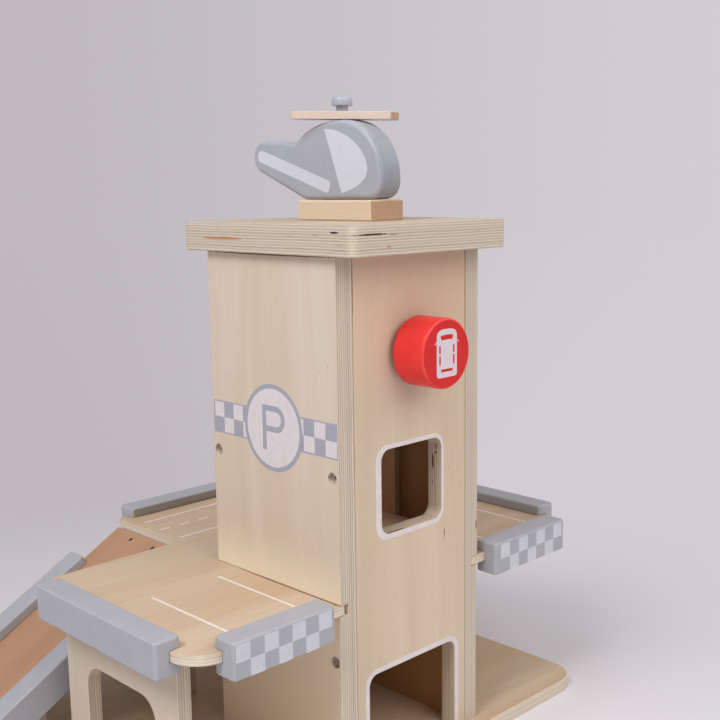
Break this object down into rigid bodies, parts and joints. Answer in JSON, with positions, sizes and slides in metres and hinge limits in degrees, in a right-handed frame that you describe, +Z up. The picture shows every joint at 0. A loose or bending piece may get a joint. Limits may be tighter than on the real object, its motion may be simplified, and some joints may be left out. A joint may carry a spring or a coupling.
{
  "type": "toy parking garage with lift",
  "caption": "Wooden toy parking garage: a square lift tower with a knob-wound cabin, a parking deck with grooved kerbs, a ramp, and a helicopter on the roof.",
  "frame": {"origin": "on the ground, under the middle of the garage's outline", "axes": "+X to the right seen from the tower's front, +Y from the front to the back, +Z up"},
  "size_m": [0.4282, 0.274, 0.4079],
  "materials": {
    "panel_ply": "pale lime plywood, clear matt lacquer",
    "front_ply": "warm plywood, clear matt lacquer",
    "deck_ply": "plywood sheet, clear matt lacquer",
    "beech": "solid beech, sanded",
    "grey_paint": "wood painted grey, satin",
    "red_paint": "wood painted red, satin gloss",
    "steel": "zinc plated, cross recess",
    "cord": "twisted cotton cord",
    "felt": "dark felt"
  },
  "bodies": {
    "root": {"base_board": "deck_ply", "base_screw_left_front": "steel", "base_screw_left_back": "steel", "base_screw_right_front": "steel", "base_screw_right_back": "steel", "deck_plate": "deck_ply", "kerb_front_left": "grey_paint", "kerb_front_right": "grey_paint", "kerb_side_left": "grey_paint", "kerb_side_right": "grey_paint", "kerb_back": "grey_paint", "support_left": "panel_ply", "support_right": "panel_ply", "support_lane": "panel_ply", "ramp_board": "deck_ply", "ramp_kerb_front": "grey_paint", "ramp_kerb_back": "grey_paint", "ramp_cleat": "beech", "ramp_prop": "panel_ply", "ramp_nail_front": "steel", "ramp_nail_back": "steel", "tower_left_panel": "panel_ply", "tower_right_panel": "panel_ply", "tower_front_panel": "front_ply", "tower_back_panel": "front_ply", "roof_plate": "panel_ply", "roof_dowel_left_front": "beech", "roof_dowel_left_back": "beech", "roof_dowel_right_front": "beech", "roof_dowel_right_back": "beech", "screw_left_upper_front": "steel", "screw_left_upper_back": "steel", "screw_left_lower_front": "steel", "screw_left_lower_back": "steel", "screw_right_upper_front": "steel", "screw_right_upper_back": "steel", "screw_right_lower_front": "steel", "screw_right_lower_back": "steel"},
    "lift": {"lift_floor": "front_ply", "lift_wall_left": "front_ply", "lift_wall_right": "front_ply", "lift_hanger": "beech", "lift_cord": "cord", "cord_knot": "cord"},
    "knob": {"lift_knob": "red_paint", "knob_washer": "felt", "knob_shaft": "beech", "shaft_collar": "beech", "cord_drum": "beech", "cord_winding": "cord"},
    "helicopter": {"helicopter_block": "beech", "helicopter_body": "grey_paint", "rotor_pin": "grey_paint"},
    "rotor": {"rotor_blade": "beech"}
  },
  "joints": [
    {"name": "lift_slide", "type": "slide", "parent": "root", "child": "lift", "axis": [0, 0, 1], "range_m": [-0.1234, 0.034], "deforming": ["lift_cord"]},
    {"name": "knob_turn", "type": "hinge", "parent": "root", "child": "knob", "pos_m": [0.04278, -0.11015, 0.259], "axis": [0, -1, 0], "range_deg": [-708, 196]},
    {"name": "helicopter_lift", "type": "slide", "parent": "root", "child": "helicopter", "axis": [0, 0, 1], "range_m": [0, 0.06]},
    {"name": "rotor_spin", "type": "hinge", "parent": "helicopter", "child": "rotor", "pos_m": [0.04278, -0.05455, 0.3926], "axis": [0.0157, -0.0369, 0.9992], "continuous": true}
  ],
  "couplings": [
    {"joint": "knob_turn", "follows": "lift_slide", "rad_per_m": 100}
  ]
}
